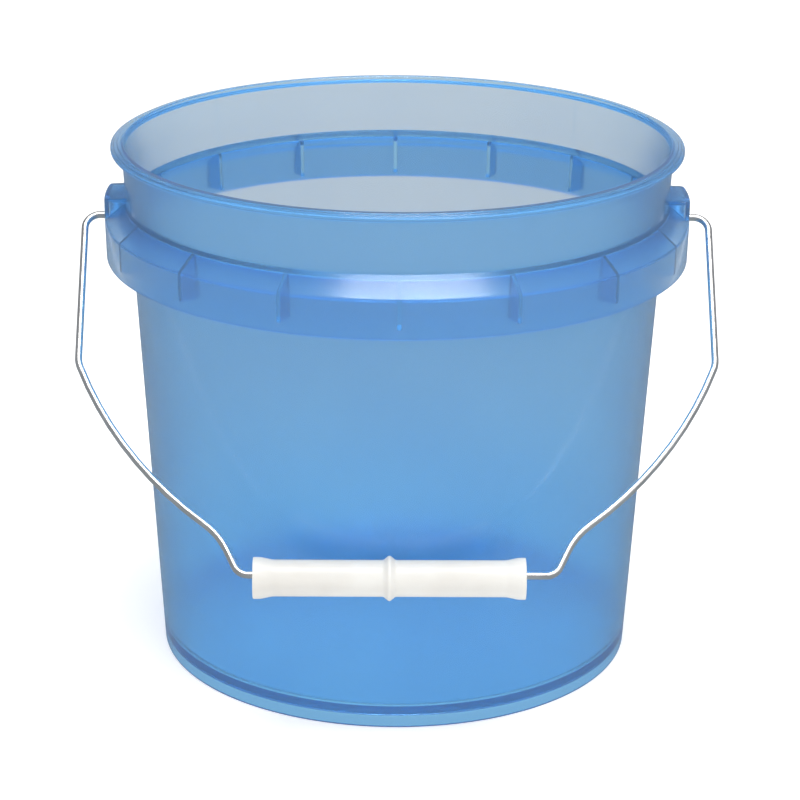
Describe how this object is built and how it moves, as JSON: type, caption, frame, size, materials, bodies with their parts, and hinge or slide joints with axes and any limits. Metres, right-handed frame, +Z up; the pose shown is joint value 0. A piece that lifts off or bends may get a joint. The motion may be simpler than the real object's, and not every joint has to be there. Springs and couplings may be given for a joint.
{
  "type": "wash bucket",
  "caption": "Round open wash bucket: translucent moulded tub with a ribbed collar, a swinging wire bail and a turning grip.",
  "frame": {"origin": "centre of the foot ring, on the surface that the bucket stands on", "axes": "+Z up through the open mouth; the two ears lie on X; the bail hangs at the front, towards -Y"},
  "size_m": [0.222, 0.2063, 0.1865],
  "materials": {
    "tub_plastic": "translucent blue polypropylene, satin gloss",
    "wire": "bright drawn steel wire",
    "grip_plastic": "white moulded plastic, satin"
  },
  "bodies": {
    "tub": {"tub": "tub_plastic"},
    "bail": {"bail": "wire"},
    "grip": {"grip": "grip_plastic"}
  },
  "joints": [
    {"name": "bail_swing", "type": "hinge", "parent": "tub", "child": "bail", "pos_m": [0, 0, 0.158], "axis": [-1, 0, 0], "range_deg": [0, 270]},
    {"name": "grip_spin", "type": "hinge", "parent": "bail", "child": "grip", "pos_m": [0, -0.0962, 0.0607], "axis": [1, 0, 0], "continuous": true}
  ]
}
